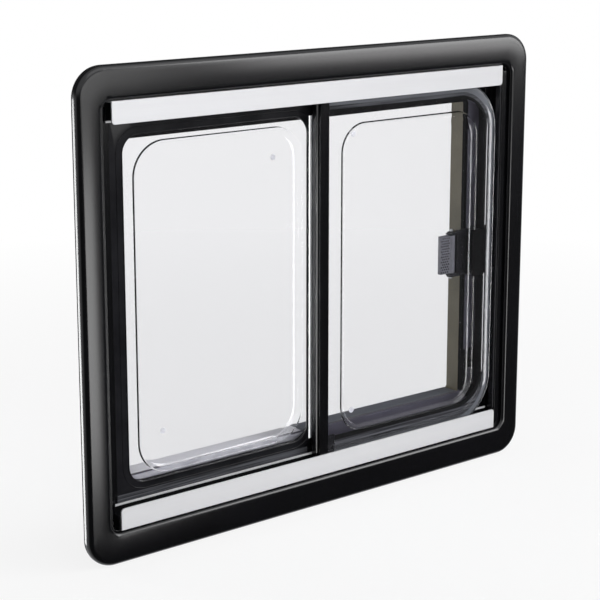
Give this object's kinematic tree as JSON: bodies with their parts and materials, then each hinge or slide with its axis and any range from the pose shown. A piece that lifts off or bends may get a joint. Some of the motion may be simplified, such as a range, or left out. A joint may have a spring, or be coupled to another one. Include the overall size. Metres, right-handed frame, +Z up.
{
  "type": "sliding caravan window",
  "caption": "Framed sliding window for a caravan wall: black moulded frame, aluminium rails, a fixed double pane, a sliding double sash with stile and lock, and a room-side clamp ring and trim.",
  "frame": {"origin": "centre of the window in the plane of the wall's outer skin, which is the flat back face of the outer frame's flange", "axes": "+X to the right as seen from outside, +Y into the wall towards the room, +Z up"},
  "size_m": [0.642, 0.065, 0.542],
  "materials": {
    "frame_black": "satin black moulded polyurethane",
    "rail_aluminium": "bright anodised",
    "profile_black": "black coated extrusion",
    "seal_rubber": "black extruded rubber",
    "clear_acrylic": "polished clear acrylic",
    "plug_clear": "translucent moulded plastic",
    "strip_metal": "brushed",
    "clamp_grey": "matt dark grey moulded",
    "trim_cream": "fine grained, dull cream moulded",
    "lock_black": "matt black moulded",
    "brush_pile": "black polypropylene bristles",
    "glider_plastic": "dark moulded slide plastic",
    "pin_steel": "turned",
    "lock_grey": "dimpled dark grey moulded"
  },
  "bodies": {
    "frame": {"outer_frame": "frame_black", "top_rail": "rail_aluminium", "bottom_rail": "rail_aluminium", "left_jamb": "profile_black", "right_jamb": "profile_black", "right_jamb_seal": "seal_rubber", "fixed_pane_gasket": "seal_rubber", "fixed_outer_sheet": "clear_acrylic", "fixed_inner_sheet": "clear_acrylic", "fixed_pane_plugs": "plug_clear", "meeting_strip": "strip_metal", "clamp_ring": "clamp_grey", "inner_trim": "trim_cream", "lock_keeper": "lock_black"},
    "sash": {"sash_outer_sheet": "clear_acrylic", "sash_inner_sheet": "clear_acrylic", "sash_stile": "profile_black", "stile_brush": "brush_pile", "sash_gliders": "glider_plastic", "sash_top_guides": "glider_plastic", "sash_plugs": "plug_clear", "lock_base": "lock_black", "lock_housing": "lock_black", "lock_pin": "pin_steel"},
    "lever": {"lock_lever": "lock_grey"}
  },
  "joints": [
    {"name": "sash_slide", "type": "slide", "parent": "frame", "child": "sash", "axis": [-1, 0, 0], "range_m": [0, 0.185]},
    {"name": "lever_turn", "type": "hinge", "parent": "sash", "child": "lever", "pos_m": [0.2195, 0.01575, 0], "axis": [0, 0, -1], "range_deg": [0, 28], "stiffness_Nm_per_rad": 0.05}
  ]
}
